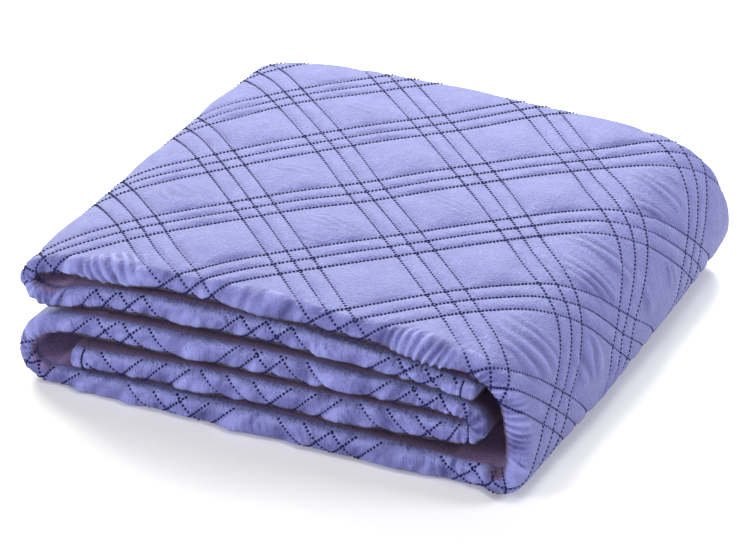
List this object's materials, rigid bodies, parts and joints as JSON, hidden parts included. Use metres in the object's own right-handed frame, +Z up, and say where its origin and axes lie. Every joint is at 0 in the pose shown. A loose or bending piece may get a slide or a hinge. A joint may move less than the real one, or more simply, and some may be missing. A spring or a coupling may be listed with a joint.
{
  "type": "folded quilted bedspread",
  "caption": "Thin quilted bedspread with diamond stitching, folded lengthwise and then into a flat stack with rounded folds.",
  "frame": {"origin": "middle of the stack's footprint, on the ground", "axes": "+Z up, +X along the front edge towards the large outer fold, -Y towards the rounded front folds"},
  "size_m": [0.4514, 0.4108, 0.126],
  "materials": {
    "quilted_cloth": "matt brushed microfibre"
  },
  "bodies": {
    "root": {"bedspread": "quilted_cloth"}
  },
  "joints": []
}
